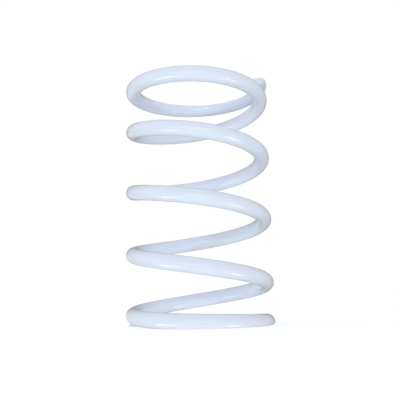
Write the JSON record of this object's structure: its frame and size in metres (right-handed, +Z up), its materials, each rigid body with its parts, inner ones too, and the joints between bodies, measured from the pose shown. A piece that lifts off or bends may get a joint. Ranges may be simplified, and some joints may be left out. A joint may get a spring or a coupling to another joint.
{
  "type": "shock spring",
  "caption": "Left-hand wound coil compression spring for a shock absorber, with closed, ground ends and a gloss white powder coat.",
  "frame": {"origin": "centre of the lower ground end, on the plane that the spring stands on", "axes": "+Z up along the coil's axis, from the lower ground end to the upper one; -Y faces the viewer of the picture"},
  "size_m": [0.0752, 0.0752, 0.126],
  "materials": {
    "white_powder_coat": "gloss powder coat, white with a touch of blue, very slight orange peel"
  },
  "bodies": {
    "root": {"coil_spring": "white_powder_coat"}
  },
  "joints": []
}
